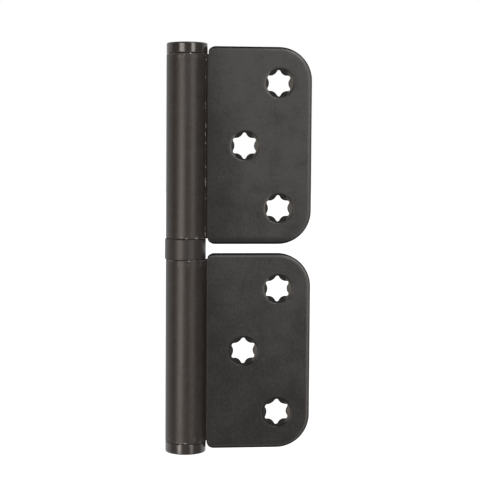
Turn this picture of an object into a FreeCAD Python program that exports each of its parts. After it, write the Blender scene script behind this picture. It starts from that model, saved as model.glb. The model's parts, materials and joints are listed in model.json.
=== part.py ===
import FreeCAD, Part
import math
import os

# Driving dimensions, in millimetres

# the stack along the pin
overall_height = 130.0      # over both caps
ring_height = 6.6           # bearing ring between the knuckles
cap_height = 3.4            # part of a cap that shows
plug_length = 5.0           # part of a cap inside its knuckle

# the rolled knuckle
knuckle_diameter = 13.0
sheet = 2.5                 # thickness of the leaves
bend_inside = 0.6           # inside radius of the bend from leaf to knuckle
seam_gap = 1.1              # between the end of the roll and the leaf
seam_round = 0.3            # dulled outer corner at the end of the roll
knuckle_chamfer = 0.35      # at both ends of a knuckle

# the flag of a leaf
leaf_reach = 39.8           # from the pin's axis to the outer edge
inner_overhang = 1.8        # past the knuckle, beside the ring
outer_overhang = 2.5        # past the knuckle, beside the cap
outer_corner = 10.6
inner_corner = 1.75
edge_break = 0.5            # chamfer along the front edge
root_lap = 2.0              # flat of the rolled strip inside the flag

# the screw holes
hole_margin = 10.5          # from the outer edge to the two outer holes
hole_spacing = 39.8         # between the two outer holes
centre_hole_reach = 18.4    # from the pin's axis to the single hole
hole_diameter = 6.3         # across the lobes of the star
star_diameter = 8.4         # across the points of the star
star_points = 6
point_round = 0.7           # radius at the tip of a point
head_diameter = 9.4         # countersink at the front face
head_angle = 90.0           # included angle of the countersink

# the pin
pin_end_gap = 3.3           # from the pin's nose to the top cap's plug
pin_clearance = 0.05        # radial, in the upper knuckle
pin_lead = 3.0              # tapered nose that guides the upper leaf on
pin_nose_diameter = 5.6
pin_foot_chamfer = 0.5

# the bearing ring
ring_play = 0.4             # radial, round the pin
ring_rest_gap = 0.1         # left where the loose ring leans on the pin
ring_chamfer = 0.25

# the caps
cap_edge = 0.4              # chamfer at the outer face of a cap
cap_chamfer = 0.3           # chamfer beside the knuckle
plug_chamfer = 0.5

# Sizes that follow from them
knuckle_radius = knuckle_diameter / 2
bore_radius = knuckle_radius - sheet
knuckle_length = (overall_height - ring_height - 2 * cap_height) / 2
knuckle_start = ring_height / 2
knuckle_end = knuckle_start + knuckle_length
leaf_start = knuckle_start - inner_overhang
leaf_end = knuckle_end + outer_overhang
leaf_middle = (leaf_start + leaf_end) / 2
front = -sheet / 2
back = sheet / 2
bend_radius = bend_inside + sheet / 2
roll_radius = knuckle_radius - sheet / 2
bend_x = math.sqrt((roll_radius + bend_radius) ** 2 - bend_radius ** 2)
run_radius = bore_radius - pin_clearance

up = FreeCAD.Vector(0, 0, 1)
origin = FreeCAD.Vector(0, 0, 0)


def polar(radius, angle, centre_x=0.0, centre_y=0.0):
    """A point of the plan view, at a radius and an angle in radians from a centre."""
    return FreeCAD.Vector(centre_x + radius * math.cos(angle), centre_y + radius * math.sin(angle), 0)


def arc(radius, start, end, centre_x=0.0, centre_y=0.0):
    """The arc from one angle to another, in the direction given by their order."""
    a = polar(radius, start, centre_x, centre_y)
    middle = polar(radius, (start + end) / 2, centre_x, centre_y)
    b = polar(radius, end, centre_x, centre_y)
    return Part.Arc(a, middle, b).toShape()


def line(a, b):
    return Part.LineSegment(a, b).toShape()


def turned(points):
    """A solid of revolution about the pin's axis, from points of radius and height."""
    outline = Part.makePolygon([FreeCAD.Vector(r, 0, z) for r, z in points + points[:1]])
    return Part.Face(outline).revolve(origin, up, 360)


def rolled_strip():
    """The knuckle and the root of its leaf: flat, reverse bend at the back, roll that ends in front."""
    join_angle = math.atan2(bend_radius, bend_x)
    bend_end = math.pi + join_angle
    bend_start = 1.5 * math.pi
    seam_angle = 2 * math.pi - math.asin((sheet / 2 + seam_gap) / knuckle_radius)
    corner_angle = seam_angle - math.asin(seam_round / (knuckle_radius - seam_round))
    corner = polar(knuckle_radius - seam_round, corner_angle)
    corner_foot = polar((knuckle_radius - seam_round) * math.cos(seam_angle - corner_angle), seam_angle)
    seam_inside = polar(bore_radius, seam_angle)
    root_x = bend_x + root_lap
    edges = [
        line(FreeCAD.Vector(root_x, back, 0), FreeCAD.Vector(bend_x, back, 0)),
        arc(bend_inside, bend_start, bend_end, bend_x, bend_radius),
        arc(knuckle_radius, join_angle, corner_angle),
        arc(seam_round, corner_angle, seam_angle + math.pi / 2, corner.x, corner.y),
        line(corner_foot, seam_inside),
        arc(bore_radius, seam_angle, join_angle),
        arc(bend_inside + sheet, bend_end, bend_start, bend_x, bend_radius),
        line(FreeCAD.Vector(bend_x, front, 0), FreeCAD.Vector(root_x, front, 0)),
        line(FreeCAD.Vector(root_x, front, 0), FreeCAD.Vector(root_x, back, 0)),
    ]
    strip = Part.Face(Part.Wire(edges)).extrude(FreeCAD.Vector(0, 0, knuckle_length))
    strip.translate(FreeCAD.Vector(0, 0, knuckle_start))
    for height, way in ((knuckle_start, 1), (knuckle_end, -1)):
        strip = strip.cut(end_chamfer(height, way))
    return strip


def end_chamfer(height, way):
    """The ring of metal taken off the outer edge at one end of a knuckle."""
    beyond = (knuckle_radius + bend_x) / 2
    inside = knuckle_radius - knuckle_chamfer
    return turned([
        (inside, height),
        (beyond, height),
        (beyond, height + way * (beyond - inside)),
    ])


def flag():
    """The flat plate of a leaf, with its front edge chamfered all the way round."""
    left, right = bend_x, leaf_reach
    low, high = leaf_start, leaf_end

    def corner(x, z, radius, start):
        """A quarter round of the outline, from its centre and its first angle."""
        points = []
        for angle in (start, start + math.pi / 4, start + math.pi / 2):
            points.append(FreeCAD.Vector(x + radius * math.cos(angle), front, z + radius * math.sin(angle)))
        return Part.Arc(*points).toShape()

    rounds = [
        corner(left + inner_corner, low + inner_corner, inner_corner, math.pi),
        corner(right - outer_corner, low + outer_corner, outer_corner, 1.5 * math.pi),
        corner(right - outer_corner, high - outer_corner, outer_corner, 0),
        corner(left + inner_corner, high - inner_corner, inner_corner, math.pi / 2),
    ]
    edges = []
    for this, following in zip(rounds, rounds[1:] + rounds[:1]):
        edges.append(this)
        edges.append(line(this.Vertexes[-1].Point, following.Vertexes[0].Point))
    plate = Part.Face(Part.Wire(edges)).extrude(FreeCAD.Vector(0, sheet, 0))
    front_edges = [e for e in plate.Edges if abs(e.BoundBox.YMax - front) < 1e-6]
    return plate.makeChamfer(edge_break, front_edges)


def star_outline():
    """Round points and bulging lobes in turn, each arc tangent to the next."""
    half_step = math.pi / star_points
    lobe_reach = hole_diameter / 2
    point_reach = star_diameter / 2 - point_round
    across = point_reach * math.cos(half_step)
    lobe_round = (point_reach ** 2 + lobe_reach ** 2 - 2 * across * lobe_reach - point_round ** 2) / (
        2 * (point_round + across - lobe_reach))
    edges = []
    for k in range(star_points):
        axis = math.pi / 2 + 2 * k * half_step
        point = polar(point_reach, axis)
        lobe = polar(lobe_reach + lobe_round, axis + half_step)
        following = polar(point_reach, axis + 2 * half_step)
        lean = math.remainder(math.atan2(lobe.y - point.y, lobe.x - point.x) - axis, 2 * math.pi)
        edges.append(arc(point_round, axis - lean, axis + lean, point.x, point.y))
        start = math.atan2(point.y - lobe.y, point.x - lobe.x)
        end = math.atan2(following.y - lobe.y, following.x - lobe.x)
        sweep = math.remainder(end - start, 2 * math.pi)
        edges.append(arc(lobe_round, start, start + sweep, lobe.x, lobe.y))
    return Part.Wire(edges)


def screw_hole(x, z):
    """What one screw hole takes out of a leaf: the star right through and the seat of the screw's head."""
    star = Part.Face(star_outline()).extrude(FreeCAD.Vector(0, 0, sheet))
    head_radius = head_diameter / 2
    seat_depth = head_radius / math.tan(math.radians(head_angle / 2))
    seat = Part.makeCone(0, head_radius, seat_depth, FreeCAD.Vector(0, 0, sheet - seat_depth))
    tool = star.fuse(seat)
    tool.rotate(origin, FreeCAD.Vector(1, 0, 0), 90)
    tool.translate(FreeCAD.Vector(x, back, z))
    return tool


def leaf(upper):
    """One leaf, rolled from a single strip. The lower one is rolled the other way, so its seam is behind."""
    strip = rolled_strip()
    if not upper:
        strip = strip.mirror(origin, FreeCAD.Vector(0, 1, 0))
    body = strip.fuse(flag()).removeSplitter()
    outer_column = leaf_reach - hole_margin
    places = [
        (outer_column, leaf_middle - hole_spacing / 2),
        (centre_hole_reach, leaf_middle),
        (outer_column, leaf_middle + hole_spacing / 2),
    ]
    for x, z in places:
        body = body.cut(screw_hole(x, z))
    if not upper:
        body = body.mirror(origin, up)
    return body


def hinge_pin():
    """Held in the lower knuckle, standing on the bottom cap's plug, and running in the upper knuckle."""
    foot = -knuckle_end + plug_length
    shoulder = -knuckle_start
    top = knuckle_end - plug_length - pin_end_gap
    return turned([
        (0, foot),
        (bore_radius - pin_foot_chamfer, foot),
        (bore_radius, foot + pin_foot_chamfer),
        (bore_radius, shoulder),
        (run_radius, shoulder + pin_clearance),
        (run_radius, top - pin_lead),
        (pin_nose_diameter / 2, top),
        (0, top),
    ])


def bearing_ring():
    """The loose ring between the knuckles, leaning to the side away from the leaves."""
    inside = run_radius + ring_play
    half = ring_height / 2
    ring = turned([
        (inside, -half),
        (knuckle_radius - ring_chamfer, -half),
        (knuckle_radius, -half + ring_chamfer),
        (knuckle_radius, half - ring_chamfer),
        (knuckle_radius - ring_chamfer, half),
        (inside, half),
    ])
    ring.translate(FreeCAD.Vector(ring_rest_gap - ring_play, 0, 0))
    return ring


def cap(upper):
    """A turned cap whose plug is pressed into the open end of a knuckle."""
    low = knuckle_end
    high = knuckle_end + cap_height
    foot = low - plug_length
    body = turned([
        (0, foot),
        (bore_radius - plug_chamfer, foot),
        (bore_radius, foot + plug_chamfer),
        (bore_radius, low),
        (knuckle_radius - cap_chamfer, low),
        (knuckle_radius, low + cap_chamfer),
        (knuckle_radius, high - cap_edge),
        (knuckle_radius - cap_edge, high),
        (0, high),
    ])
    if not upper:
        body = body.mirror(origin, up)
    return body


os.makedirs("parts", exist_ok=True)
pieces = {
    "upper_leaf": leaf(True),
    "lower_leaf": leaf(False),
    "hinge_pin": hinge_pin(),
    "bearing_ring": bearing_ring(),
    "top_cap": cap(True),
    "bottom_cap": cap(False),
}
for name, shape in pieces.items():
    shape.exportStep("parts/" + name + ".step")
    box = shape.optimalBoundingBox()
    print(name, "valid", shape.isValid(), "solids", len(shape.Solids), "volume", round(shape.Volume, 2),
          "z", round(box.ZMin, 3), round(box.ZMax, 3))
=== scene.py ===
import json
import math

import bmesh
import bpy
from mathutils import Matrix, Quaternion, Vector
from mathutils.geometry import delaunay_2d_cdt


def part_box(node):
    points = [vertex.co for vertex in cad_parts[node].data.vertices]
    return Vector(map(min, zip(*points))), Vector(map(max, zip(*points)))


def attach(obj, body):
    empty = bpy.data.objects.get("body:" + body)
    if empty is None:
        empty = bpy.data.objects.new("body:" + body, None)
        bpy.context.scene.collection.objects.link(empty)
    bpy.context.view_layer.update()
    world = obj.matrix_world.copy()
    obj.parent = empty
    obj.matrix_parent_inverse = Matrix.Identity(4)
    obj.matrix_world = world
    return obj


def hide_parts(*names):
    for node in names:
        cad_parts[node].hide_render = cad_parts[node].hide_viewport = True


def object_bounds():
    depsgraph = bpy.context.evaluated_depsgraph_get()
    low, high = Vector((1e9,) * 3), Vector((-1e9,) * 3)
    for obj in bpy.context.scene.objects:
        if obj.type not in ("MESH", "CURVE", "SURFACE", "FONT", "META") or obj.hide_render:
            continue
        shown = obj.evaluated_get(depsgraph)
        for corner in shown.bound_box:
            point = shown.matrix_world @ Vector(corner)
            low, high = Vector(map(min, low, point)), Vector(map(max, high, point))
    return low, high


mm = 0.001          # the scene is in metres
sameSpot = 1e-7     # points nearer than this are one

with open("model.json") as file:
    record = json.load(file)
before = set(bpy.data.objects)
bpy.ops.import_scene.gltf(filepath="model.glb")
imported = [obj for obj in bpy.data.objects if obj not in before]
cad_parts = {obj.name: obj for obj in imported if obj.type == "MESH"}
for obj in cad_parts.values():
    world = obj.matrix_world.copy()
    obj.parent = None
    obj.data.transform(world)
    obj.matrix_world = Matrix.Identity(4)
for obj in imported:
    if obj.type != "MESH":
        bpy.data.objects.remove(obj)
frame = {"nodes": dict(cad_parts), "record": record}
cadLow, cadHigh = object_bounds()
print("frame:", ", ".join(sorted(frame["nodes"])))


# Node trees

class Flow:
    # one value in a node tree: plain operators on it add Math nodes
    def __init__(self, board, socket):
        self.board = board
        self.socket = socket

    def pick(self, name):
        return Flow(self.board, self.socket.node.outputs[name])

    def maths(self, operation, *others):
        return self.board.maths(operation, self, *others)

    def __add__(self, other):
        return self.maths("ADD", other)

    def __radd__(self, other):
        return self.board.maths("ADD", other, self)

    def __sub__(self, other):
        return self.maths("SUBTRACT", other)

    def __rsub__(self, other):
        return self.board.maths("SUBTRACT", other, self)

    def __mul__(self, other):
        return self.maths("MULTIPLY", other)

    def __rmul__(self, other):
        return self.board.maths("MULTIPLY", other, self)

    def __truediv__(self, other):
        return self.maths("DIVIDE", other)

    def __gt__(self, other):
        return self.maths("GREATER_THAN", other)


class Board:
    # a node tree under construction
    def __init__(self, tree):
        self.tree = tree
        tree.nodes.clear()

    def add(self, kind, settings=None, values=None, output=0):
        node = self.tree.nodes.new(kind)
        for key, value in (settings or {}).items():
            setattr(node, key, value)
        for key, value in (values or {}).items():
            for item in value if isinstance(value, list) else [value]:
                if isinstance(item, Flow):
                    self.tree.links.new(item.socket, node.inputs[key])
                else:
                    node.inputs[key].default_value = item
        return Flow(self, node.outputs[output]) if node.outputs else None

    def maths(self, operation, *terms):
        return self.add("ShaderNodeMath", {"operation": operation}, dict(enumerate(terms)))

    def spread(self, value, low, high):
        # from 0 at low to 1 at high, eased at both ends
        settings = {"interpolation_type": "SMOOTHSTEP"}
        return self.add("ShaderNodeMapRange", settings, {0: value, 1: low, 2: high})

    def band(self, value, start, full, fade, end):
        # up from 0 to 1, and down to 0 again
        return self.spread(value, start, full) * (1 - self.spread(value, fade, end))

    def tint(self, share, first, second):
        settings = {"data_type": "RGBA"}
        return self.add("ShaderNodeMix", settings, {0: share, 6: first, 7: second}, output=2)

    def split(self, vector):
        return self.add("ShaderNodeSeparateXYZ", None, {0: vector})

    def stretch(self, vector, scale):
        return self.add("ShaderNodeMapping", None, {"Vector": vector, "Scale": scale})

    def noise(self, vector, size, detail=2.0):
        values = {"Vector": vector, "Scale": 1 / size, "Detail": detail}
        return self.add("ShaderNodeTexNoise", None, values)

    def bump(self, height, distance, under=None):
        values = {"Strength": 1.0, "Distance": distance, "Height": height}
        if under:
            values["Normal"] = under
        return self.add("ShaderNodeBump", None, values)


# Paint and steel

leafPaint = {
    "slot": "leaf_black",
    "dark": (0.0055, 0.0045, 0.0040, 1),
    "light": (0.0392, 0.0385, 0.0385, 1),
    "barrel": (0.0178, 0.0117, 0.0078, 1),      # browner where the sheet is rolled
    "barrelEnds": (6.5 * mm, 7.5 * mm),
    "deep": (0.006, 0.0056, 0.0052, 1),         # painted shade in the holes and down the edges
    "bare": (0.52, 0.49, 0.45, 1),              # pale steel colour: painted highlight on seats, crescents and edges, and on edges partly a worn thin coat
    "speck": (0.9, 0.86, 0.8, 1),               # and bare steel where the coat is gone, so pale that it is partly a painted glint
    "speckMetal": 0.35,
    "roughness": 0.42,
    "specular": 0.45,
    # the dark matte coat mixed in is painted shade in the holes, down the edges, on the rims' dull side
    # and at the upper leaf's foot
    "mattRoughness": 0.85,
    "mattSpecular": 0.08,

    # marks in the coat: their size, and where they begin and end
    "peel": 1.3 * mm,                           # one swell in the paint
    "peelHeight": 0.003 * mm,
    "grain": 0.28 * mm,
    "grainHeight": 0.0012 * mm,
    "cloud": 9 * mm,                            # broad patches of thicker and thinner paint
    "mottle": {"cloud": 0.45, "peel": 0.3, "grain": 0.25},
    "mottleCut": (0.35, 0.65),
    "smudge": 3.2 * mm,                         # blotches
    "stain": 5 * mm,                            # darker patches
    "stainCut": (0.5, 0.72),
    "streak": 0.6 * mm,                         # upright wisps left by the rolling of the sheet
    "streakScale": (1, 1, 0.65),
    "scuff": 0.9 * mm,                          # specks along the worn lip and knuckle ends, partly painted glints
    "scuffScale": (1, 1, 0.8),
    "scuffCut": (0.6, 0.68),

    # painted light and shade on a leaf: shaded beside the knuckle, lighter upwards; across it, and up
    # the hinge
    "shelter": (8 * mm, 22 * mm),               # painted shade, darkest beside the knuckle
    "topReach": 7 * mm,                         # it comes nearer to the knuckle towards a leaf's top
    "topRise": (0.45, 1.0),
    "fade": (-82 * mm, 50 * mm),                # less painted light towards the hinge's foot
    "leafFade": 24 * mm,                        # and towards each leaf's own foot
    "cloudFade": 25 * mm,

    # edges: as depth below the face, place across, or share of a leaf's height
    "roll": (0.01 * mm, 0.08 * mm),
    "wall": (0.16 * mm, 0.32 * mm),
    "edgeLine": 0.08 * mm,                      # so much nearer to the face the edges turn dark, as painted shade
    "edgeFade": (28 * mm, 37 * mm),             # but less so towards the outer edge
    "foot": (0.004, 0.05),                      # painted shade: darker at a leaf's lower edge
    "border": (0.93, 0.98),                     # painted highlight: paler at the lower leaf's upper edge
    "borderRoll": (0.002 * mm, 0.04 * mm),

    # holes: by the attributes seat and rim, depth, and height on the hinge
    "patch": (0.0, 0.2),
    "lowHoles": (-32 * mm, -12 * mm),           # below this their rims are painted dull, as shade, all round
    "lowRim": 0.7,
    "crescentSeat": (0.36, 0.46, 0.5, 0.6),     # painted highlight: a pale crescent at the left
    "crescentDepth": (0.06 * mm, 0.16 * mm, 0.32 * mm, 0.5 * mm),

    # how strongly each of them counts
    "toneShares": {"mottle": 0.25, "rubbed": 0.8, "stain": 0.35, "streak": 0.9, "smudge": 0.5,
                   "lowerRoll": 0.8, "rim": 0.55, "roll": -0.35, "foot": 0.3},
    "bareShares": {"lip": 0.03, "roll": 0.03, "border": 0.045, "seat": 0.2, "crescent": 0.26},
    "roughShares": {"grain": 0.16, "cloud": 0.1, "roll": -0.1, "inside": 0.35},
    "mattShares": {"inside": 0.7, "edge": 0.22, "rim": 0.55, "foot": 0.45},
}

capPaint = dict(leafPaint, slot="cap_black", roughness=0.19, specular=0.58, peelHeight=0.0015 * mm,
                barrel=(0.026, 0.0222, 0.0199, 1), light=(0.032, 0.0277, 0.0249, 1))
ringPaint = dict(leafPaint, slot="ring_black", roughness=0.43, specular=0.48,
                 barrel=(0.020, 0.0158, 0.0132, 1), light=(0.026, 0.0235, 0.0215, 1))

pinSteel = {
    "slot": "pin_steel",
    "dark": (0.42, 0.41, 0.395, 1),
    "light": (0.58, 0.57, 0.55, 1),
    "roughness": 0.27,
    "line": 0.09 * mm,              # one grinding line round the pin
    "lineScale": (0.04, 0.04, 1),
    "lineCut": (0.3, 0.7),
    "lineHeight": 0.0012 * mm,
    "lineRoughness": 0.14,
}


def newMaterial(name):
    material = bpy.data.materials.new(name)
    material.use_nodes = True
    return material, Board(material.node_tree)


def finishMaterial(board, values, mattShare=None, mattValues=None):
    shader = board.add("ShaderNodeBsdfPrincipled", None, values)
    if mattShare:
        matt = board.add("ShaderNodeBsdfPrincipled", None, mattValues)
        shader = board.add("ShaderNodeMixShader", None, {0: mattShare, 1: shader, 2: matt})
    board.add("ShaderNodeOutputMaterial", None, {"Surface": shader})


def paintMaterial(paint):
    material, board = newMaterial(paint["slot"])
    inTone, inWearAndSheen = paint["toneShares"], paint["bareShares"]
    inRough, inMatt = paint["roughShares"], paint["mattShares"]
    coords = board.add("ShaderNodeTexCoord", output="Object")
    spot = board.split(coords)
    x, z = spot.pick("X"), spot.pick("Z")
    # only the leaves have these: on the caps and the ring they read 0
    depth, wear, rise, seat, rim = [
        board.add("ShaderNodeAttribute", {"attribute_name": name}, output="Fac")
        for name in ("depth", "wear", "rise", "seat", "rim")]
    cloud, peel, grain = [board.noise(coords, paint[name]) for name in ("cloud", "peel", "grain")]
    smudge = board.noise(coords, paint["smudge"], detail=3.0)
    stain = board.spread(board.noise(coords, paint["stain"], detail=3.0), *paint["stainCut"])
    streak = board.noise(board.stretch(coords, paint["streakScale"]), paint["streak"])
    scuff = board.noise(board.stretch(coords, paint["scuffScale"]), paint["scuff"])
    parts = paint["mottle"]
    mottle = parts["cloud"] * cloud + parts["peel"] * peel + parts["grain"] * grain
    mottle = board.spread(mottle, *paint["mottleCut"])

    # which part of the leaf it is: away from the holes, down a wall, on a rolled edge and so on
    plain = 1 - board.spread(seat, *paint["patch"])
    onEdge = plain * (1 - board.spread(x, *paint["edgeFade"]))
    inside = board.spread(depth + paint["edgeLine"] * onEdge, *paint["wall"])
    rolled = board.spread(depth, *paint["roll"]) * (1 - inside)
    onFlag = board.spread(x, *paint["barrelEnds"])
    onLower = z.maths("LESS_THAN", 0)
    low = 1 - board.spread(z, *paint["lowHoles"])
    rim = rim.maths("MAXIMUM", paint["lowRim"] * low * (1 - plain))
    aboveFoot = board.spread(rise, *paint["foot"])
    dullFoot = (1 - aboveFoot) * (1 - onLower) * plain * onFlag
    border = board.spread(rise, *paint["border"]) * board.spread(depth, *paint["borderRoll"])
    border = border * (1 - inside) * onLower

    # painted light and shade: the coat is paler away from the knuckle and upwards, and painted shade
    # makes it dark in the holes and down the edges
    across = x + paint["topReach"] * board.spread(rise, *paint["topRise"])
    height = z + paint["leafFade"] * (rise - 0.5) + paint["cloudFade"] * (cloud - 0.5)
    rubbed = board.spread(across, *paint["shelter"]) * board.spread(height, *paint["fade"])
    tone = inTone["mottle"] * mottle + inTone["rubbed"] * rubbed * (1 - inTone["stain"] * stain)
    tone = tone + inTone["streak"] * (streak - 0.5) + inTone["smudge"] * (smudge - 0.5)
    # painted highlight and shade on rolled edges: paler on the lower leaf and on the rims' lit side,
    # darker elsewhere
    edgeTone = inTone["lowerRoll"] * onLower * plain + inTone["rim"] * (1 - plain) * (1 - rim)
    tone = tone + rolled * (edgeTone + inTone["roll"])
    tone = tone * (1 - inside) * (inTone["foot"] + (1 - inTone["foot"]) * aboveFoot)
    coat = board.tint(tone, board.tint(onFlag, paint["barrel"], paint["dark"]), paint["light"])
    coat = board.tint(inside, coat, paint["deep"])

    # painted highlights in pale steel colour on rolled edges, the lower leaf's top border, the seats and
    # the crescents, partly a thin coat on worn edges; and pale specks of bare steel on the worn lip and
    # knuckle ends, partly painted glints
    paleEdge = (inWearAndSheen["roll"] * rolled + inWearAndSheen["border"] * border) * plain
    coat = board.tint(paleEdge, coat, paint["bare"])
    crescent = board.band(seat, *paint["crescentSeat"]) * board.band(depth, *paint["crescentDepth"])
    paleSeat = inWearAndSheen["seat"] * seat * inside + inWearAndSheen["crescent"] * crescent * (1 - low)
    coat = board.tint(paleSeat, coat, paint["bare"])
    bare = wear * (inWearAndSheen["lip"] + (1 - inWearAndSheen["lip"]) * board.spread(scuff, *paint["scuffCut"]))

    roughness = paint["roughness"] + inRough["grain"] * (grain - 0.5) + inRough["cloud"] * (cloud - 0.5)
    roughness = roughness + inRough["roll"] * rolled + inRough["inside"] * inside
    # painted shade: a dark matte coat in the holes, down the edges, on the rims' dull side and at the
    # upper leaf's foot
    matt = inside * (inMatt["inside"] * (1 - seat) + inMatt["edge"] * onEdge)
    matt = matt + inMatt["rim"] * rolled * rim + inMatt["foot"] * dullFoot
    finishMaterial(board, {
        "Base Color": board.tint(bare, coat, paint["speck"]),
        "Metallic": paint["speckMetal"] * bare,
        "Roughness": roughness,
        "Specular IOR Level": paint["specular"],
        "Normal": board.bump(grain, paint["grainHeight"], board.bump(peel, paint["peelHeight"])),
    }, matt * (1 - bare), {
        "Base Color": paint["deep"],
        "Roughness": paint["mattRoughness"],
        "Specular IOR Level": paint["mattSpecular"],
    })
    return material


def steelMaterial(steel):
    material, board = newMaterial(steel["slot"])
    coords = board.add("ShaderNodeTexCoord", output="Object")
    lines = board.noise(board.stretch(coords, steel["lineScale"]), steel["line"], detail=3.0)
    finishMaterial(board, {
        "Base Color": board.tint(board.spread(lines, *steel["lineCut"]), steel["dark"], steel["light"]),
        "Metallic": 1.0,
        "Roughness": steel["roughness"] + steel["lineRoughness"] * (lines - 0.5),
        "Normal": board.bump(lines, steel["lineHeight"]),
    })
    return material


# Outlines and meshes

def softened(corners, turnStep):
    # a closed outline, counter-clockwise, from corners of x, y and radius:
    # gives each point, its outward normal and the number of its corner
    outline = []
    for i, (x, y, radius) in enumerate(corners):
        here = Vector((x, y))
        comes = (here - Vector(corners[i - 1][:2])).normalized()
        goes = (Vector(corners[(i + 1) % len(corners)][:2]) - here).normalized()
        turn = math.atan2(comes.x * goes.y - comes.y * goes.x, comes.dot(goes))
        firstNormal = Vector((comes.y, -comes.x))
        if radius == 0:
            outline.append((here, (firstNormal + Vector((goes.y, -goes.x))).normalized(), i))
            continue
        bulge = math.copysign(radius, turn)
        start = here - comes * radius * math.tan(abs(turn) / 2)
        centre = start - firstNormal * bulge
        steps = max(2, math.ceil(abs(turn) / turnStep))
        for k in range(steps + 1):
            normal = Matrix.Rotation(turn * k / steps, 2) @ firstNormal
            outline.append((centre + normal * bulge, normal, i))
    return outline


def meshPiece(name, points, faces):
    mesh = bpy.data.meshes.new(name)
    mesh.from_pydata(points, [], faces)
    piece = bpy.data.objects.new(name, mesh)
    bpy.context.scene.collection.objects.link(piece)
    return piece


def evaluatedMesh(piece):
    graph = bpy.context.evaluated_depsgraph_get()
    graph.update()
    return bpy.data.meshes.new_from_object(piece.evaluated_get(graph))


def keepResult(piece):
    # the modifiers' result becomes the piece's plain mesh
    mesh = evaluatedMesh(piece)
    piece.modifiers.clear()
    piece.data = mesh
    mesh.name = piece.name


def finishShading(piece):
    # faces outwards, smooth, with the large faces setting the normals at their edges
    work = bmesh.new()
    work.from_mesh(piece.data)
    bmesh.ops.remove_doubles(work, verts=work.verts, dist=sameSpot)
    bmesh.ops.recalc_face_normals(work, faces=work.faces)
    for face in work.faces:
        face.smooth = True
    openEdges = sum(1 for edge in work.edges if not edge.is_manifold)
    work.to_mesh(piece.data)
    work.free()
    weighted = piece.modifiers.new("weighted", "WEIGHTED_NORMAL")
    weighted.mode = "FACE_AREA"
    weighted.weight = 100
    keepResult(piece)
    print(piece.name, "faces", len(piece.data.polygons), "open edges", openEdges)


def place(piece, node, body, slot):
    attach(piece, body)
    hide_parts(node)


# Leaves

leafSet = {
    "sheet": 2.5 * mm,
    "bendInside": 0.6 * mm,
    "seamGap": 1.1 * mm,
    "outerOverhang": 2.5 * mm,      # of the flag past its knuckle, beside the cap
    "outerCorner": 10.6 * mm,
    "innerCut": (1.45 * mm, 0.88 * mm),     # inner corners, wide and high, each end with its own round
    "innerRounds": (1.4 * mm, 2.8 * mm),
    "notch": 0.1 * mm,              # round where knuckle and flag part
    "seamCorner": 0.45 * mm,
    "turnStep": math.radians(5),    # between points of a round
    "rollWidth": 1.35 * mm,         # die roll: a gentle fall towards the edge
    "rollFall": 0.24 * mm,
    "rollEdge": 0.34 * mm,          # and a tight round at the edge itself
    "backEdge": 0.25 * mm,
    "knuckleOutside": 0.38 * mm,
    "knuckleInside": 0.15 * mm,
    "edgeBlend": (0.3 * mm, 1.5 * mm),      # start and length of the change from knuckle to flag edges
    "bendColumns": 18,
    "rollColumns": 120,
    "tabRows": 28,
    "rollSteps": 6,
    "edgeSteps": 6,
    "backSteps": 4,
    "weld": 0.002 * mm,             # joins the hole patches to the leaf
    "lip": 1.0 * mm,                # worn strip along the end of the roll, its pale specks partly painted glints
    "lipSolid": 0.6,                # share of it before the wear and glints fade
    "lipWander": 0.35 * mm,
    "lipWave": 8 * mm,
    "lipFade": 5 * mm,              # the lip wanders only this near to the seam
    "endWear": (0.1 * mm, 0.45 * mm),       # worn rims at the knuckle's ends, their pale specks partly painted glints
    "endShare": 0.85,
    "dent": 0.03 * mm,              # shallow hollows left by rolling
    "dentSize": 16 * mm,
    "dentStart": 4 * mm,
}

holeSet = {
    "across": 6.3 * mm,             # over the lobes
    "points": 8.4 * mm,             # over the points
    "count": 6,
    "pointRound": 0.7 * mm,
    "pointSteps": 12,
    "lobeSteps": 8,
    "head": 9.4 * mm,
    "rimRound": 1.1 * mm,
    "rimSteps": 4,
    "edgeRound": 0.45 * mm,
    "edgeSteps": 3,
    "backRound": 0.15 * mm,
    "backSteps": 3,
    "patch": 11.4 * mm,             # round patch of leaf that carries one hole
    "seatSides": (2.4 * mm, 3.4 * mm),      # where the pale sides of the seat, a painted highlight, begin
    "seatWear": (0.26, 0.22, 0.66),         # painted highlight: all round, added at the left, added at the right
    "rimWay": (0.85, 0.5),                  # the rim is painted dull, as shade, to the right and above
    "rimDull": (-1 * mm, 3.5 * mm),
}

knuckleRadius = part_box("top_cap")[1].y
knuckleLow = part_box("bearing_ring")[1].z
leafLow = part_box("upper_leaf")[0].z
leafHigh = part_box("upper_leaf")[1].z
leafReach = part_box("upper_leaf")[1].x
knuckleHigh = leafHigh - leafSet["outerOverhang"]
bendRadius = leafSet["bendInside"] + leafSet["sheet"] / 2
rollRadius = knuckleRadius - leafSet["sheet"] / 2
boreRadius = knuckleRadius - leafSet["sheet"]
bendX = math.sqrt((rollRadius + bendRadius) ** 2 - bendRadius ** 2)
joinAngle = math.atan2(bendRadius, bendX)
bendLength = bendRadius * (math.pi / 2 - joinAngle)
seamAngle = 2 * math.pi - math.asin((leafSet["sheet"] / 2 + leafSet["seamGap"]) / knuckleRadius)
rollLength = rollRadius * (seamAngle - joinAngle)
seamU = bendX - bendLength - rollLength


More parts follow.
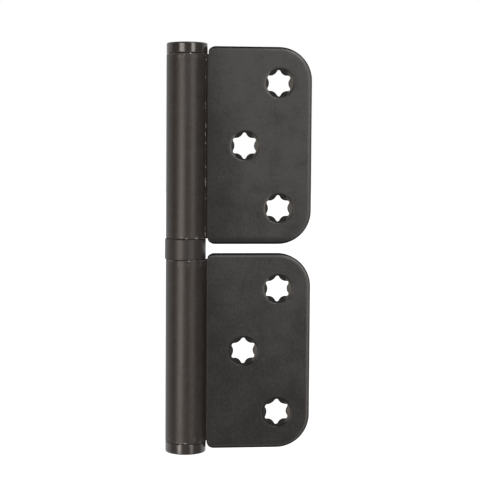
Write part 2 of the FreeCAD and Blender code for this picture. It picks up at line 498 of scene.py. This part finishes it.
def starOutline():
    # round points and bulging lobes, each arc tangent to the next, as points about the hole's middle
    half = math.pi / holeSet["count"]
    lobe = holeSet["across"] / 2
    tip = holeSet["pointRound"]
    reach = holeSet["points"] / 2 - tip
    near = reach * math.cos(half)
    bulge = (reach ** 2 + lobe ** 2 - 2 * near * lobe - tip ** 2) / (2 * (tip + near - lobe))
    lobeReach = lobe + bulge
    lean = math.atan2(lobeReach * math.sin(half), lobeReach * math.cos(half) - reach)
    lobeTurn = lean - half
    pointSteps, lobeSteps = holeSet["pointSteps"], holeSet["lobeSteps"]
    outline = []
    for k in range(holeSet["count"]):
        axis = math.pi / 2 + 2 * half * k
        centre = Vector((reach * math.cos(axis), reach * math.sin(axis)))
        for step in range(pointSteps):
            angle = axis - lean + 2 * lean * step / pointSteps
            outline.append(centre + tip * Vector((math.cos(angle), math.sin(angle))))
        centre = Vector((lobeReach * math.cos(axis + half), lobeReach * math.sin(axis + half)))
        for step in range(lobeSteps):
            angle = axis + half + math.pi + lobeTurn - 2 * lobeTurn * step / lobeSteps
            outline.append(centre + bulge * Vector((math.cos(angle), math.sin(angle))))
    return outline


def patchCircle():
    return [point.normalized() * holeSet["patch"] / 2 for point in starOutline()]


def holeSection(star):
    # radius and depth from the front face down the countersink, through the star and out on the back
    head = holeSet["head"] / 2
    rim, edge, back = holeSet["rimRound"], holeSet["edgeRound"], holeSet["backRound"]
    sheet = leafSet["sheet"]
    eighth = math.tan(math.pi / 8)
    section = [(holeSet["patch"] / 2, 0)]
    for k in range(holeSet["rimSteps"] + 1):
        angle = math.pi / 4 * k / holeSet["rimSteps"]
        section.append((head + rim * (eighth - math.sin(angle)), rim * (1 - math.cos(angle))))
    for k in range(holeSet["edgeSteps"] + 1):
        angle = math.pi / 4 * (1 + k / holeSet["edgeSteps"])
        depth = head - star + edge * (eighth - math.cos(angle))
        section.append((star + edge * (1 - math.sin(angle)), depth))
    for k in range(holeSet["backSteps"] + 1):
        angle = math.pi / 2 * k / holeSet["backSteps"]
        section.append((star + back * (1 - math.cos(angle)), sheet - back * (1 - math.sin(angle))))
    section.append((holeSet["patch"] / 2, sheet))
    return section


def holePatch():
    outline = starOutline()
    points, faces = [], []
    for point in outline:
        way = point.normalized()
        for radius, depth in holeSection(point.length):
            points.append((way.x * radius, depth - leafSet["sheet"] / 2, way.y * radius))
    rows = len(points) // len(outline)
    for i in range(len(outline)):
        here = i * rows
        following = (i + 1) % len(outline) * rows
        for k in range(rows - 1):
            faces.append((here + k, here + k + 1, following + k + 1, following + k))
    return meshPiece("holePatch", points, faces)


def holePlaces(leaf):
    places = []
    for opening in frame["record"]["physics"]["openings"]:
        if opening["name"].startswith(leaf):
            low, high = opening["box_m"]
            places.append(Vector(((low[0] + high[0]) / 2, abs(low[2] + high[2]) / 2)))
    return places


def blankCorners():
    # outline of the flat blank: knuckle tab to the left, flag to the right
    # with it the numbers of three corners: the flag's first and last, and the upper end of the seam
    bendStep = bendLength / leafSet["bendColumns"]
    rollStep = rollLength / leafSet["rollColumns"]
    bends = [bendX - bendStep * k for k in range(1, leafSet["bendColumns"] + 1)]
    rolls = [bendX - bendLength - rollStep * k for k in range(1, leafSet["rollColumns"] - 1)]
    columns = sorted(bends + rolls)
    low = [(u, knuckleLow, 0) for u in columns]
    high = [(u, knuckleHigh, 0) for u in reversed(columns)]
    wide, tall = leafSet["innerCut"]
    tight, easy = leafSet["innerRounds"]
    flag = [
        (bendX, knuckleLow, leafSet["notch"]),
        (bendX, leafLow + tall, tight),
        (bendX + wide, leafLow, easy),
        (leafReach, leafLow, leafSet["outerCorner"]),
        (leafReach, leafHigh, leafSet["outerCorner"]),
        (bendX + wide, leafHigh, easy),
        (bendX, leafHigh - tall, tight),
        (bendX, knuckleHigh, leafSet["notch"]),
    ]
    rows = leafSet["tabRows"]
    seam = [(seamU, knuckleHigh + (knuckleLow - knuckleHigh) * k / rows, 0) for k in range(1, rows)]
    lowEnd = (seamU, knuckleLow, leafSet["seamCorner"])
    highEnd = (seamU, knuckleHigh, leafSet["seamCorner"])
    flagFirst = 1 + len(low)
    flagLast = len(low) + len(flag)
    numbers = (flagFirst, flagLast, flagLast + len(high) + 1)
    return [lowEnd] + low + flag + high + [highEnd] + seam, numbers


def quarterRound(radius, count):
    # inset and depth of points from the face to the wall
    angles = [math.pi / 2 * k / (count - 1) for k in range(count)]
    return [(radius * (1 - math.sin(angle)), radius * (1 - math.cos(angle))) for angle in angles]


def dieRoll():
    width, fall, edge = leafSet["rollWidth"], leafSet["rollFall"], leafSet["rollEdge"]
    lean = math.atan2(2 * fall, width)
    profile = []
    for k in range(leafSet["rollSteps"]):
        share = k / leafSet["rollSteps"]
        profile.append((width * (1 - share) + edge * (1 - math.sin(lean)), fall * share ** 2))
    for k in range(leafSet["edgeSteps"] + 1):
        angle = lean + (math.pi / 2 - lean) * k / leafSet["edgeSteps"]
        profile.append((edge * (1 - math.sin(angle)), fall + edge * (math.cos(lean) - math.cos(angle))))
    return profile


def edgeRings(outline, rollSide):
    # the blank's rim as rings: front face, die roll, wall, back edge, back face
    sheet = leafSet["sheet"]
    tabFront, tabBack = leafSet["knuckleInside"], leafSet["knuckleOutside"]
    if rollSide < 0:
        tabFront, tabBack = tabBack, tabFront
    flagFront = dieRoll()
    flagBack = quarterRound(leafSet["backEdge"], leafSet["backSteps"] + 1)
    front = list(zip(quarterRound(tabFront, len(flagFront)), flagFront))
    back = list(zip(quarterRound(tabBack, len(flagBack)), flagBack))
    blendStart, blendLength = leafSet["edgeBlend"]

    def ring(tab, flag, way):
        points = []
        for point, normal, corner in outline:
            share = min(1, max(0, (point.x - bendX + blendStart) / blendLength))
            inset = tab[0] + (flag[0] - tab[0]) * share
            depth = tab[1] + (flag[1] - tab[1]) * share
            points.append((point - normal * inset, way * (sheet / 2 - depth)))
        return points

    frontRings = [ring(tab, flag, -1) for tab, flag in front]
    backRings = [ring(tab, flag, 1) for tab, flag in back[::-1]]
    return frontRings + backRings


def filled(loops):
    # triangles between an outline and the round holes in it, as pairs of loop and place
    points, edges, names = [], [], []
    for number, loop in enumerate(loops):
        first = len(points)
        for i, point in enumerate(loop):
            points.append(point / mm)
            names.append((number, i))
            edges.append((first + i, first + (i + 1) % len(loop)))
    insideOnly, nearness = 1, 1e-7
    triangles, sources = delaunay_2d_cdt(points, edges, [], insideOnly, nearness)[2:4]
    for triangle in triangles:
        corners = [names[sources[i][0]] for i in triangle]
        inHole = len({number for number, i in corners}) == 1 and corners[0][0] > 0
        if not inHole:
            yield corners


def flatBlank(leaf, rollSide):
    corners, (flagFirst, flagLast, highEnd) = blankCorners()
    outline = softened(corners, leafSet["turnStep"])
    rings = edgeRings(outline, rollSide)
    count = len(outline)
    points = [(point.x, depth, point.y) for ring in rings for point, depth in ring]
    faces = []
    for k in range(len(rings) - 1):
        here = k * count
        below = here + count
        for i in range(count):
            following = (i + 1) % count
            faces.append((here + i, here + following, below + following, below + i))

    def ofCorner(number):
        return [i for i in range(count) if outline[i][2] == number]

    # the tab as a grid between its two long edges, the strip at the seam and the flag filled in
    lowRow = ofCorner(0)[-1:] + list(range(ofCorner(1)[0], ofCorner(flagFirst)[0] + 1))
    highRow = list(range(ofCorner(flagLast)[-1], ofCorner(highEnd)[0] + 1))[::-1]
    flagPart = list(range(lowRow[-1], highRow[-1] + 1))
    seamPart = list(range(ofCorner(highEnd)[0], count)) + ofCorner(0)
    rows, columns = leafSet["tabRows"], len(lowRow)
    places = holePlaces(leaf)
    for ring, level in ((rings[0], 0), (rings[-1], (len(rings) - 1) * count)):
        depth = ring[flagPart[len(flagPart) // 2]][1]
        grid = []
        for low, high in zip(lowRow, highRow):
            start, end = ring[low][0], ring[high][0]
            inner = list(range(len(points), len(points) + rows - 1))
            for r in range(1, rows):
                between = start.lerp(end, r / rows)
                points.append((between.x, depth, between.y))
            grid.append([level + low] + inner + [level + high])
        for a in range(columns - 1):
            for r in range(rows):
                faces.append((grid[a][r], grid[a + 1][r], grid[a + 1][r + 1], grid[a][r + 1]))
        seamLoop = [level + i for i in seamPart] + grid[0][1:-1]
        flagLoop = [level + i for i in flagPart] + grid[-1][-2:0:-1]
        loops = [flagLoop]
        for centre in places:
            circle = patchCircle()
            loops.append(list(range(len(points), len(points) + len(circle))))
            points.extend((centre.x + spot.x, depth, centre.y + spot.y) for spot in circle)
        for group in ([seamLoop], loops):
            flat = [[Vector((points[i][0], points[i][2])) for i in loop] for loop in group]
            for triangle in filled(flat):
                faces.append([group[loop][i] for loop, i in triangle])
    return meshPiece("flatBlank", points, faces)


def stored(board, geometry, values):
    # keeps each value on the points, for the paint to read
    settings = {"data_type": "FLOAT", "domain": "POINT"}
    for name, value in values.items():
        geometry = board.add("GeometryNodeStoreNamedAttribute", settings,
                             {"Geometry": geometry, "Name": name, "Value": value})
    return geometry


def rollTree():
    # joins the hole patches to the flat blank and rolls its tab into the knuckle
    tree = bpy.data.node_groups.new("rolledLeaf", "GeometryNodeTree")
    board = Board(tree)
    inputs = [("Blank", "Geometry"), ("Hole", "Object"), ("Places", "Object"), ("Paint", "Material")]
    numbers = ["Sheet", "Bend X", "Bend Radius", "Bend Length", "Roll Radius", "Join Angle", "Roll Side",
               "Up", "Seam U", "Knuckle Low", "Knuckle High", "Leaf Low", "Leaf High", "Lip",
               "Lip Wander", "Dent"]
    for name, kind in inputs + [(name, "Float") for name in numbers]:
        tree.interface.new_socket(name, in_out="INPUT", socket_type="NodeSocket" + kind)
    tree.interface.new_socket("Leaf", in_out="OUTPUT", socket_type="NodeSocketGeometry")
    given = board.add("NodeGroupInput")
    hole = board.add("GeometryNodeObjectInfo", None, {"Object": given.pick("Hole")}, "Geometry")
    spots = board.add("GeometryNodeObjectInfo", None, {"Object": given.pick("Places")}, "Geometry")

    # for the paint: the seat's painted highlight, strongest at the right, and the rim's painted shade to
    # the right and above, by direction from the hole's middle
    aside = board.split(board.add("GeometryNodeInputPosition"))
    x, z = aside.pick("X"), aside.pick("Z")
    left = board.spread(0 - x, *holeSet["seatSides"])
    right = board.spread(x, *holeSet["seatSides"])
    allRound, atLeft, atRight = holeSet["seatWear"]
    seat = allRound + atLeft * left + atRight * right
    toRight, toTop = holeSet["rimWay"]
    rim = board.spread(toRight * x + toTop * given.pick("Up") * z, *holeSet["rimDull"])
    hole = stored(board, hole, {"seat": seat, "rim": rim})

    holes = board.add("GeometryNodeInstanceOnPoints", None, {"Points": spots, "Instance": hole})
    joined = board.add("GeometryNodeJoinGeometry", None, {"Geometry": [given.pick("Blank"), holes]})
    whole = board.add("GeometryNodeRealizeInstances", None, {"Geometry": joined})
    whole = board.add("GeometryNodeMergeByDistance", None,
                      {"Geometry": whole, "Distance": leafSet["weld"]})

    spot = board.split(board.add("GeometryNodeInputPosition"))
    u, n, z = spot.pick("X"), spot.pick("Y"), spot.pick("Z")
    bendAt, bend, roll = given.pick("Bend X"), given.pick("Bend Radius"), given.pick("Roll Radius")
    side = given.pick("Roll Side")
    fromSeam = u - given.pick("Seam U")

    # the lip wanders a little along the seam, and the roll keeps shallow hollows
    upwards = board.add("ShaderNodeCombineXYZ", None, {"Z": z})
    wave = board.noise(upwards, leafSet["lipWave"]) - 0.5
    nearSeam = 1 - board.spread(fromSeam, 0.0, leafSet["lipFade"])
    run = bendAt - u + wave * given.pick("Lip Wander") * nearSeam
    past = run - given.pick("Bend Length")
    onSheet = board.add("ShaderNodeCombineXYZ", None, {"X": u, "Z": z})
    hollow = board.noise(onSheet, leafSet["dentSize"], detail=1.0)
    out = n * side - given.pick("Dent") * hollow * board.spread(past, 0.0, leafSet["dentStart"])
    bendAngle = -math.pi / 2 - run / bend
    rollAngle = given.pick("Join Angle") + past / roll
    bendTurnX = bendAt + (bend - out) * bendAngle.maths("COSINE")
    bendTurnY = bend + (bend - out) * bendAngle.maths("SINE")
    rollTurnX = (roll + out) * rollAngle.maths("COSINE")
    rollTurnY = (roll + out) * rollAngle.maths("SINE")
    inBend, inRoll = run > 0, past > 0
    turnX = bendTurnX + inRoll * (rollTurnX - bendTurnX)
    turnY = bendTurnY + inRoll * (rollTurnY - bendTurnY)
    placed = board.add("ShaderNodeCombineXYZ", None, {
        "X": u + inBend * (turnX - u),
        "Y": n + inBend * (side * turnY - n),
        "Z": z * given.pick("Up"),
    })

    # for the paint: depth below the faces, the worn lip and knuckle ends with specks that are partly
    # painted glints, and height on the leaf
    depth = given.pick("Sheet") / 2 - n.maths("ABSOLUTE")
    lip = 1 - board.spread(fromSeam, leafSet["lipSolid"] * given.pick("Lip"), given.pick("Lip"))
    fromEnd = (z - given.pick("Knuckle Low")).maths("MINIMUM", given.pick("Knuckle High") - z)
    ends = 1 - board.spread(fromEnd, *leafSet["endWear"])
    wear = lip.maths("MAXIMUM", leafSet["endShare"] * ends * inRoll) * (n * side > 0)
    middle = (given.pick("Leaf Low") + given.pick("Leaf High")) / 2
    rise = 0.5 + given.pick("Up") * (z - middle) / (given.pick("Leaf High") - given.pick("Leaf Low"))
    whole = stored(board, whole, {"depth": depth, "wear": wear, "rise": rise})

    rolled = board.add("GeometryNodeSetPosition", None, {"Geometry": whole, "Position": placed})
    single = board.add("GeometryNodeRealizeInstances", None, {"Geometry": rolled})
    painted = board.add("GeometryNodeSetMaterial", None,
                        {"Geometry": single, "Material": given.pick("Paint")})
    board.add("NodeGroupOutput", None, {"Leaf": painted})
    return tree


def makeLeaf(name, leaf, tree, hole, paint, rollSide, up):
    # rollSide 1 rolls the tab off to the back, so that its seam is in front, and -1 the other way
    # up is -1 for the leaf that stands upside down
    piece = flatBlank(leaf, rollSide)
    piece.name = name
    spots = meshPiece("holeSpots", [(spot.x, 0, spot.y) for spot in holePlaces(leaf)], [])
    roller = piece.modifiers.new("roller", "NODES")
    roller.node_group = tree
    values = {
        "Hole": hole, "Places": spots, "Paint": paint, "Roll Side": rollSide, "Up": up,
        "Bend X": bendX, "Bend Radius": bendRadius, "Bend Length": bendLength,
        "Roll Radius": rollRadius, "Join Angle": joinAngle, "Seam U": seamU,
        "Knuckle Low": knuckleLow, "Knuckle High": knuckleHigh,
        "Leaf Low": leafLow, "Leaf High": leafHigh, "Sheet": leafSet["sheet"],
        "Lip": leafSet["lip"], "Lip Wander": leafSet["lipWander"], "Dent": leafSet["dent"],
    }
    for socket in tree.interface.items_tree:
        if socket.name in values:
            roller[socket.identifier] = values[socket.name]
    keepResult(piece)
    bpy.data.objects.remove(spots)
    finishShading(piece)
    return piece


# Turned pieces

turnedSet = {
    "segments": 144,
    "turnStep": math.radians(10),   # between points of a profile's round
}

capSet = {
    "plugEdge": 0.5 * mm,
    "outerEdge": 0.5 * mm,
    "grooveEdge": 0.32 * mm,
}

ringSet = {
    "edge": 0.28 * mm,
    "bore": 4.35 * mm,
    "boreEdge": 0.2 * mm,
}

pinSet = {
    "clearance": 0.05 * mm,
    "lead": 3 * mm,
    "nose": 2.8 * mm,
    "noseEdge": 0.5 * mm,
    "leadEdge": 0.6 * mm,
    "footEdge": 0.4 * mm,
}


def turned(name, corners, paint, centreX=0.0):
    # a profile of radius, height and corner round, spun about the pin's axis
    profile = [point for point, normal, corner in softened(corners, turnedSet["turnStep"])]
    segments = turnedSet["segments"]
    points, rows = [], []
    for radius, height in profile:
        if radius < sameSpot:
            rows.append([len(points)] * segments)
            points.append((centreX, 0, height))
            continue
        rows.append(range(len(points), len(points) + segments))
        for k in range(segments):
            angle = 2 * math.pi * k / segments
            points.append((centreX + radius * math.cos(angle), radius * math.sin(angle), height))
    faces = []
    for row, following in zip(rows, rows[1:] + rows[:1]):
        for k in range(segments):
            beside = (k + 1) % segments
            face = list(dict.fromkeys((row[k], row[beside], following[beside], following[k])))
            if len(face) > 2:
                faces.append(face)
    piece = meshPiece(name, points, faces)
    piece.data.materials.append(paint)
    finishShading(piece)
    return piece


def makeCap(name, node, paint, up):
    low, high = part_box(node)
    foot, top = (low.z, high.z) if up > 0 else (-high.z, -low.z)
    corners = [
        (0, foot, 0),
        (boreRadius, foot, capSet["plugEdge"]),
        (boreRadius, knuckleHigh, 0),
        (knuckleRadius, knuckleHigh, capSet["grooveEdge"]),
        (knuckleRadius, top, capSet["outerEdge"]),
        (0, top, 0),
    ]
    corners = [(radius, up * height, edge) for radius, height, edge in corners]
    return turned(name, corners if up > 0 else corners[::-1], paint)


def makeRing(name, node, paint):
    low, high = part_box(node)
    corners = [
        (ringSet["bore"], low.z, ringSet["boreEdge"]),
        (high.y, low.z, ringSet["edge"]),
        (high.y, high.z, ringSet["edge"]),
        (ringSet["bore"], high.z, ringSet["boreEdge"]),
    ]
    return turned(name, corners, paint, (low.x + high.x) / 2)


def makePin(name, node, paint):
    low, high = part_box(node)
    run = boreRadius - pinSet["clearance"]
    corners = [
        (0, low.z, 0),
        (boreRadius, low.z, pinSet["footEdge"]),
        (boreRadius, -knuckleLow, 0),
        (run, -knuckleLow + pinSet["clearance"], 0),
        (run, high.z - pinSet["lead"], pinSet["leadEdge"]),
        (pinSet["nose"], high.z, pinSet["noseEdge"]),
        (0, high.z, 0),
    ]
    return turned(name, corners, paint)


# Camera, light and floor

cameraSet = {
    "place": Vector((-28.1, -419.1, 30.9)) * mm,
    "yaw": math.radians(5.787),
    "pitch": math.radians(-3.228),
    "roll": math.radians(-0.354),
    "focalPixels": 1323.2,
    "middlePixel": (231.4, 226.2),
    "pixels": 480,
    "sensor": 36,               # millimetres, as the lens
    "clip": (0.01, 50),
}

floorSet = {
    "drop": 300 * mm,           # below the bottom cap
    "half": 12.0,
    "white": (0.8, 0.8, 0.8, 1),
    "glow": (0.55, 1.0),        # under the hinge and far from it
    "near": 0.25,
    "far": 1.2,
    "turn": (-0.1, 0.25),       # how far behind the hinge it turns white in reflections
}

lightSet = {
    "ambient": 0.15,
    "dim": 0.2,
    "turn": (-0.1, 0.25),       # how far to the front the backdrop reaches round, as the cosine
    "lamps": {
        # name: azimuth from the front, elevation, lean, distance, width, height,
        # brightness against white, colour
        "leftStrip": (-33.5, -5, -38, 1.0, 0.34, 0.64, 7.4, (1.0, 0.92, 0.85)),
        "leftHead": (-41, 9, 0, 1.0, 0.18, 0.11, 8.0, (1.0, 0.92, 0.85)),
        "rightHead": (30.5, 8.6, 0, 1.0, 0.32, 0.11, 8.8, (1.0, 0.95, 0.91)),
        "rightStrip": (32, -8, -14, 1.0, 0.30, 0.42, 2.7, (1.0, 0.95, 0.91)),
        "topSoft": (27, 31, 0, 0.5, 0.20, 0.16, 6.6, (1.0, 1.0, 1.0)),
    },
}


def makeCamera():
    yaw, pitch, roll = cameraSet["yaw"], cameraSet["pitch"], cameraSet["roll"]
    right = Vector((math.cos(yaw), -math.sin(yaw), 0))
    forward = Vector((math.sin(yaw) * math.cos(pitch), math.cos(yaw) * math.cos(pitch), math.sin(pitch)))
    down = forward.cross(right)
    sideways = right * math.cos(roll) + down * math.sin(roll)
    upright = right * math.sin(roll) - down * math.cos(roll)
    camera = bpy.data.objects.new("camera", bpy.data.cameras.new("camera"))
    bpy.context.scene.collection.objects.link(camera)
    turn = Matrix((sideways, upright, -forward)).transposed().to_4x4()
    camera.matrix_world = Matrix.Translation(cameraSet["place"]) @ turn
    data = camera.data
    pixels = cameraSet["pixels"]
    data.sensor_width = cameraSet["sensor"]
    data.lens = cameraSet["focalPixels"] / pixels * data.sensor_width
    data.shift_x = 0.5 - cameraSet["middlePixel"][0] / pixels
    data.shift_y = cameraSet["middlePixel"][1] / pixels - 0.5
    data.clip_start, data.clip_end = cameraSet["clip"]
    bpy.context.scene.camera = camera


def whiteSeen(board, behind):
    # white for the camera everywhere, and for reflections and clear pieces behind the hinge:
    # on the lamps' side they see a dimmer room, and light that only fills sees none of it
    path = board.add("ShaderNodeLightPath")
    mirrored = path.pick("Is Glossy Ray").maths("MAXIMUM", path.pick("Is Transmission Ray"))
    mirrored = mirrored * (lightSet["dim"] + (1 - lightSet["dim"]) * behind)
    return path.pick("Is Camera Ray").maths("MAXIMUM", mirrored)


def makeRoom():
    world = bpy.data.worlds.new("whiteRoom")
    world.use_nodes = True
    board = Board(world.node_tree)
    way = board.split(board.add("ShaderNodeTexCoord", output="Generated"))
    white = whiteSeen(board, board.spread(way.pick("Y"), *lightSet["turn"]))
    strength = white.maths("MAXIMUM", lightSet["ambient"])
    back = board.add("ShaderNodeBackground", None, {"Color": (1, 1, 1, 1), "Strength": strength})
    board.add("ShaderNodeOutputWorld", None, {"Surface": back})
    bpy.context.scene.world = world


def makeFloor():
    level = cadLow.z - floorSet["drop"]
    half = floorSet["half"]
    corners = [(-half, -half), (half, -half), (half, half), (-half, half)]
    floor = meshPiece("floor", [(x, y, level) for x, y in corners], [(0, 1, 2, 3)])
    material, board = newMaterial("whiteFloor")
    matt = board.add("ShaderNodeBsdfDiffuse", None, {"Color": floorSet["white"]})
    spot = board.split(board.add("ShaderNodeTexCoord", output="Object"))
    x, y = spot.pick("X"), spot.pick("Y")
    away = (x * x + y * y).maths("SQRT")
    low, high = floorSet["glow"]
    strength = low + (high - low) * board.spread(away, floorSet["near"], floorSet["far"])
    white = whiteSeen(board, board.spread(y, *floorSet["turn"]))
    glow = board.add("ShaderNodeEmission", None, {"Strength": strength * white})
    both = board.add("ShaderNodeAddShader", None, {0: matt, 1: glow})
    board.add("ShaderNodeOutputMaterial", None, {"Surface": both})
    floor.data.materials.append(material)


def makeLamps():
    for name, values in lightSet["lamps"].items():
        azimuth, elevation, lean, distance, width, height, bright, colour = values
        lamp = bpy.data.lights.new(name, "AREA")
        lamp.shape = "RECTANGLE"
        lamp.size, lamp.size_y = width, height
        lamp.energy = bright * width * height * math.pi
        lamp.color = colour
        around, above = math.radians(azimuth), math.radians(elevation)
        level = math.cos(above)
        way = Vector((math.sin(around) * level, -math.cos(around) * level, math.sin(above)))
        stand = bpy.data.objects.new(name, lamp)
        stand.location = way * distance
        aim = way.to_track_quat("Z", "Y") @ Quaternion((0, 0, 1), math.radians(lean))
        stand.rotation_euler = aim.to_euler()
        bpy.context.scene.collection.objects.link(stand)


# The hinge

leafBlack = paintMaterial(leafPaint)
capBlack = paintMaterial(capPaint)
ringBlack = paintMaterial(ringPaint)
steel = steelMaterial(pinSteel)
print("materials:", leafBlack.name, capBlack.name, ringBlack.name, steel.name)

tree = rollTree()
hole = holePatch()
upperLeaf = makeLeaf("upperLeaf", "upper", tree, hole, leafBlack, rollSide=1.0, up=1.0)
lowerLeaf = makeLeaf("lowerLeaf", "lower", tree, hole, leafBlack, rollSide=-1.0, up=-1.0)
bpy.data.objects.remove(hole)
place(upperLeaf, "upper_leaf", "door_half", leafPaint["slot"])
place(lowerLeaf, "lower_leaf", "frame_half", leafPaint["slot"])

place(makeCap("topCap", "top_cap", capBlack, up=1), "top_cap", "door_half", capPaint["slot"])
place(makeCap("bottomCap", "bottom_cap", capBlack, up=-1), "bottom_cap", "frame_half", capPaint["slot"])
place(makeRing("bearingRing", "bearing_ring", ringBlack), "bearing_ring", "ring", ringPaint["slot"])
place(makePin("hingePin", "hinge_pin", steel), "hinge_pin", "frame_half", pinSteel["slot"])

makeCamera()
makeRoom()
makeFloor()
makeLamps()
bpy.context.scene.view_settings.view_transform = "Standard"
print("stage: camera, white room, floor and", len(lightSet["lamps"]), "lamps")
